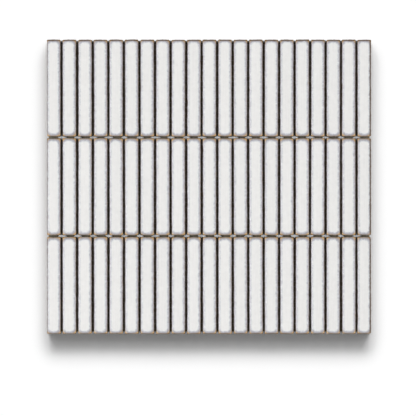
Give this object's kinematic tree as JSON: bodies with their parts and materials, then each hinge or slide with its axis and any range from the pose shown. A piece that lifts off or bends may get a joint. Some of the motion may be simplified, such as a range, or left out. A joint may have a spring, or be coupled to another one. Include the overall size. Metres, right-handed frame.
{
  "type": "finger mosaic tile sheet",
  "caption": "Mesh-backed sheet of slim glazed ceramic fingers stacked in straight columns and rows with narrow open joints, for tiling walls and floors.",
  "frame": {"origin": "middle of the sheet's underside, on the plane it lies on", "axes": "+X across the 21 columns, +Y along the fingers, +Z out of the glazed faces"},
  "size_m": [0.3072, 0.279, 0.007],
  "materials": {
    "glaze": "gloss white glaze that breaks to tan at the edges",
    "net": "coated white glass-fibre strand"
  },
  "bodies": {
    "root": {"finger_column_01": "glaze", "finger_column_02": "glaze", "finger_column_03": "glaze", "finger_column_04": "glaze", "finger_column_05": "glaze", "finger_column_06": "glaze", "finger_column_07": "glaze", "finger_column_08": "glaze", "finger_column_09": "glaze", "finger_column_10": "glaze", "finger_column_11": "glaze", "finger_column_12": "glaze", "finger_column_13": "glaze", "finger_column_14": "glaze", "finger_column_15": "glaze", "finger_column_16": "glaze", "finger_column_17": "glaze", "finger_column_18": "glaze", "finger_column_19": "glaze", "finger_column_20": "glaze", "finger_column_21": "glaze", "net_warp": "net", "net_weft": "net"}
  },
  "joints": []
}
